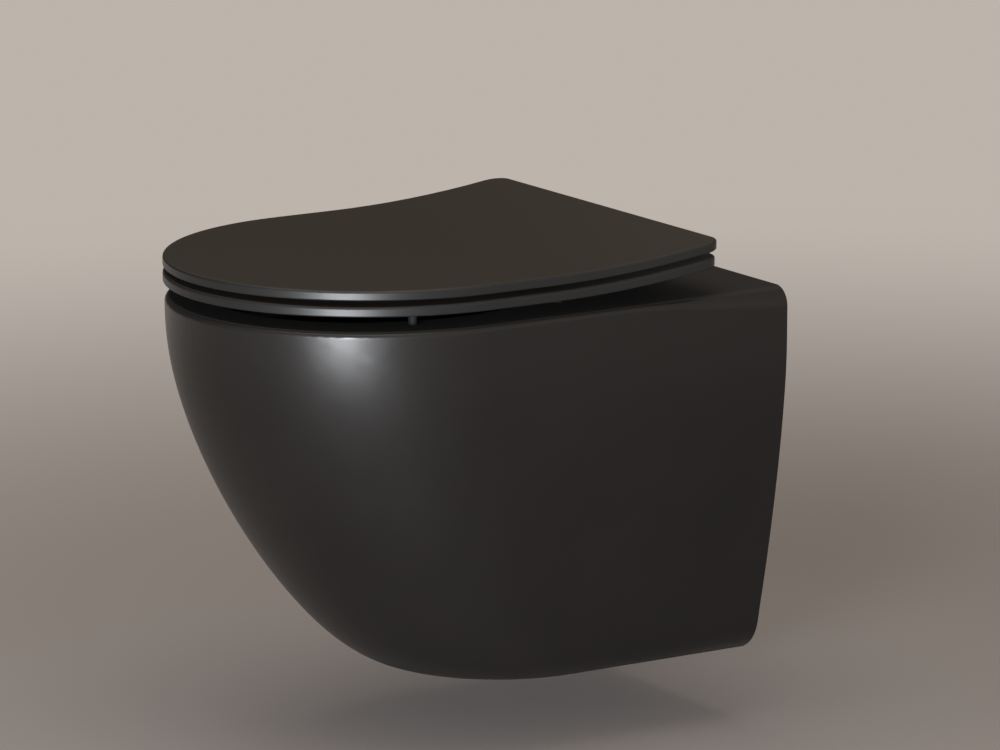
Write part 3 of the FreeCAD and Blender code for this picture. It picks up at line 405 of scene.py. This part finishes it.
def ridge_tree(material):
    """Bars in a row along Z, each lying along X, sunk half their depth in the button's face."""
    tree = bpy.data.node_groups.new("thumb_ridges", "GeometryNodeTree")
    face = tree.interface
    face.new_socket("Geometry", in_out="OUTPUT", socket_type="NodeSocketGeometry")
    sizes = {}
    bar_size = (RIDGE_LENGTH, 2 * RIDGE_PROUD, RIDGE_WIDTH)
    for name, kind, value in (("Count", "NodeSocketInt", RIDGE_COUNT),
                              ("Spacing", "NodeSocketFloat", RIDGE_SPACING),
                              ("Bar", "NodeSocketVector", bar_size),
                              ("Middle", "NodeSocketVector", (0.0, 0.0, 0.0))):
        socket = face.new_socket(name, in_out="INPUT", socket_type=kind)
        socket.default_value = value
        sizes[name] = socket.identifier
    given = add(tree, "NodeGroupInput")
    step = add(tree, "ShaderNodeCombineXYZ", links={"Z": given.outputs["Spacing"]})
    row = add(tree, "GeometryNodeMeshLine",
              links={"Count": given.outputs["Count"], "Offset": step.outputs[0]})
    bar = add(tree, "GeometryNodeMeshCube", links={"Size": given.outputs["Bar"]})
    many = add(tree, "GeometryNodeInstanceOnPoints",
               links={"Points": row.outputs["Mesh"], "Instance": bar.outputs["Mesh"]})
    gaps = add(tree, "ShaderNodeMath", {"operation": "SUBTRACT", 1: 1.0},
               {0: given.outputs["Count"]})
    reach = add(tree, "ShaderNodeMath", {"operation": "MULTIPLY"},
                {0: gaps.outputs[0], 1: given.outputs["Spacing"]})
    half_down = add(tree, "ShaderNodeMath", {"operation": "MULTIPLY", 1: -0.5},
                    {0: reach.outputs[0]})
    lower = add(tree, "ShaderNodeCombineXYZ", links={"Z": half_down.outputs[0]})
    start = add(tree, "ShaderNodeVectorMath", {"operation": "ADD"},
                {0: given.outputs["Middle"], 1: lower.outputs[0]})
    placed = add(tree, "GeometryNodeTransform",
                 links={"Geometry": many.outputs[0], "Translation": start.outputs[0]})
    solid = add(tree, "GeometryNodeRealizeInstances", links={"Geometry": placed.outputs[0]})
    dressed = add(tree, "GeometryNodeSetMaterial", {"Material": material},
                  {"Geometry": solid.outputs[0]})
    add(tree, "NodeGroupOutput", links={"Geometry": dressed.outputs[0]})
    return tree, sizes


def bake(name, tree, values):
    """Runs a tree on an empty mesh and returns what it makes as a plain mesh object."""
    seed = bpy.data.objects.new("seed", bpy.data.meshes.new("seed"))
    bpy.context.collection.objects.link(seed)
    maker = seed.modifiers.new("maker", "NODES")
    maker.node_group = tree
    for identifier, value in values.items():
        maker[identifier] = value
    graph = bpy.context.evaluated_depsgraph_get()
    mesh = bpy.data.meshes.new_from_object(seed.evaluated_get(graph), depsgraph=graph)
    bpy.data.objects.remove(seed)
    mesh.name = name
    piece = bpy.data.objects.new(name, mesh)
    bpy.context.collection.objects.link(piece)
    return piece


dress(MOULDED_ABS, "release_button_left", "release_button_right")
ridges, ridge_sizes = ridge_tree(MOULDED_ABS)
for side in ("left", "right"):
    low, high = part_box(f"release_button_{side}")
    middle = ((low[0] + high[0]) / 2, low[1], (low[2] + high[2]) / 2)
    thumb_ridges = bake(f"thumb_ridges_{side}", ridges, {ridge_sizes["Middle"]: middle})
    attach(thumb_ridges, f"button_{side}")


# --- floor --------------------------------------------------------------------------------------
# A plain floor with rolled matt paint lies 320 mm under the wall studs.  It catches the
# toilet's soft shadow and turns pale further off.

FLOOR_HEIGHT = -0.320
FLOOR_HALF = 12.0
FLOOR_CORNERS = [(x * FLOOR_HALF, y * FLOOR_HALF, FLOOR_HEIGHT)
                 for x, y in ((-1, -1), (1, -1), (1, 1), (-1, 1))]

FLOOR_NEAR = "8f8885"
FLOOR_FAR = "bdb4ac"
FADE_START = 0.5
FADE_END = 2.4


def painted_floor():
    """Matt paint, mid grey under the toilet; further off, direct and mirrored views show haze."""
    material = surface("matt_floor_paint", dark=FLOOR_NEAR, light=FLOOR_NEAR,
                       roughness=(0.85, 0.90), cloud_mm=900.0, grain_mm=40.0,
                       grain_depth_mm=0.0, gloss=0.2)
    tree = material.node_tree
    place = add(tree, "ShaderNodeTexCoord").outputs["Object"]
    away = add(tree, "ShaderNodeVectorMath", {"operation": "LENGTH"}, {0: place}).outputs["Value"]
    far = add(tree, "ShaderNodeMapRange",
              {"From Min": FADE_START, "From Max": FADE_END, "interpolation_type": "SMOOTHSTEP"},
              {"Value": away}).outputs["Result"]
    ray = add(tree, "ShaderNodeLightPath")
    direct = add(tree, "ShaderNodeMath", {"operation": "MAXIMUM"},
                 {0: ray.outputs["Is Camera Ray"], 1: ray.outputs["Is Glossy Ray"]}).outputs[0]
    seen_so = add(tree, "ShaderNodeMath", {"operation": "MAXIMUM"},
                  {0: direct, 1: ray.outputs["Is Transmission Ray"]}).outputs[0]
    hazed = add(tree, "ShaderNodeMath", {"operation": "MULTIPLY"}, {0: far, 1: seen_so}).outputs[0]
    haze = add(tree, "ShaderNodeEmission", {"Color": linear(FLOOR_FAR), "Strength": 1.0}).outputs[0]
    painted = tree.nodes["Principled BSDF"].outputs[0]
    laid = add(tree, "ShaderNodeMixShader", links={0: hazed, 1: painted, 2: haze}).outputs[0]
    tree.links.new(laid, tree.nodes["Material Output"].inputs["Surface"])
    return material


floor_mesh = bpy.data.meshes.new("floor")
floor_mesh.from_pydata(FLOOR_CORNERS, [], [(0, 1, 2, 3)])
floor_mesh.materials.append(painted_floor())
floor = bpy.data.objects.new("floor", floor_mesh)
bpy.context.collection.objects.link(floor)


# --- world and softboxes ------------------------------------------------------------------------
# A room that is brighter towards +X gives the plain level.  A softbox in front of the nose
# draws the streak that the china shows there, and a wide one hangs overhead.

ROOM_SEEN = "b6ada3"
ROOM_LIGHT = "eee6dc"
ROOM_STRENGTH = 0.36
DARK_SIDE = 0.20
BRIGHT_SIDE = 1.50
SIDE_TURN = 0.9

room = bpy.data.worlds.new("room")
bpy.context.scene.world = room
room.use_nodes = True
room_tree = room.node_tree
room_tree.nodes.clear()
rays = add(room_tree, "ShaderNodeLightPath")
mirrored_or_seen = add(room_tree, "ShaderNodeMath", {"operation": "MAXIMUM"},
                       {0: rays.outputs["Is Camera Ray"], 1: rays.outputs["Is Glossy Ray"]})
shown = add(room_tree, "ShaderNodeMath", {"operation": "MAXIMUM"},
            {0: mirrored_or_seen.outputs[0], 1: rays.outputs["Is Transmission Ray"]})
direction = add(room_tree, "ShaderNodeTexCoord").outputs["Generated"]
towards = add(room_tree, "ShaderNodeSeparateXYZ", links={0: direction})
bright_side = add(room_tree, "ShaderNodeMapRange",
                  {"From Min": -SIDE_TURN, "From Max": SIDE_TURN, "To Min": DARK_SIDE,
                   "To Max": BRIGHT_SIDE}, {"Value": towards.outputs["X"]}).outputs["Result"]
room_level = add(room_tree, "ShaderNodeMath", {"operation": "MULTIPLY", 1: ROOM_STRENGTH},
                 {0: bright_side}).outputs[0]
lit = add(room_tree, "ShaderNodeBackground", {"Color": linear(ROOM_LIGHT)},
          {"Strength": room_level})
seen = add(room_tree, "ShaderNodeBackground", {"Color": linear(ROOM_SEEN)},
           {"Strength": bright_side})
either = add(room_tree, "ShaderNodeMixShader",
             links={0: shown.outputs[0], 1: lit.outputs[0], 2: seen.outputs[0]})
add(room_tree, "ShaderNodeOutputWorld", links={"Surface": either.outputs[0]})

SOFTBOX_AIM = Vector((0.0, -0.25, 0.0))


def softbox(name, place, width, height, watts, tint):
    """A rectangular lamp turned to the toilet; the camera doesn't see it directly."""
    data = bpy.data.lights.new(name, "AREA")
    data.shape = "RECTANGLE"
    data.size = width
    data.size_y = height
    data.energy = watts
    data.color = linear(tint)[:3]
    lamp = bpy.data.objects.new(name, data)
    lamp.location = place
    lamp.rotation_euler = (SOFTBOX_AIM - Vector(place)).to_track_quat("-Z", "Y").to_euler()
    lamp.visible_camera = False
    bpy.context.collection.objects.link(lamp)


softbox("nose_softbox", place=(1.94, -2.19, 0.06), width=0.84, height=0.64, watts=185.0,
        tint="f6faff")
softbox("overhead_softbox", place=(0.2, -0.6, 2.6), width=2.4, height=2.4, watts=40.0,
        tint="fff6ea")


# --- camera -------------------------------------------------------------------------------------
# A camera with a long lens stands in front and to the right, and looks down a little on the
# lid, at the photograph's viewing angle.

CAMERA_AZIMUTH = math.radians(57.52)
CAMERA_PITCH = math.radians(12.18)
CAMERA_DISTANCE = 5.752
CAMERA_TARGET = Vector((0.1018, -0.2475, 0.0168))
CAMERA_LENS = 240.5
CAMERA_SENSOR = 36.0
CAMERA_REACH = 100.0

looking = Vector((-math.sin(CAMERA_AZIMUTH) * math.cos(CAMERA_PITCH),
                  math.cos(CAMERA_AZIMUTH) * math.cos(CAMERA_PITCH), -math.sin(CAMERA_PITCH)))
camera_data = bpy.data.cameras.new("camera")
camera_data.lens = CAMERA_LENS
camera_data.sensor_width = CAMERA_SENSOR
camera_data.clip_end = CAMERA_REACH
camera = bpy.data.objects.new("camera", camera_data)
camera.location = CAMERA_TARGET - looking * CAMERA_DISTANCE
camera.rotation_euler = looking.to_track_quat("-Z", "Y").to_euler()
bpy.context.collection.objects.link(camera)
bpy.context.scene.camera = camera

bpy.context.scene.view_settings.view_transform = "Standard"
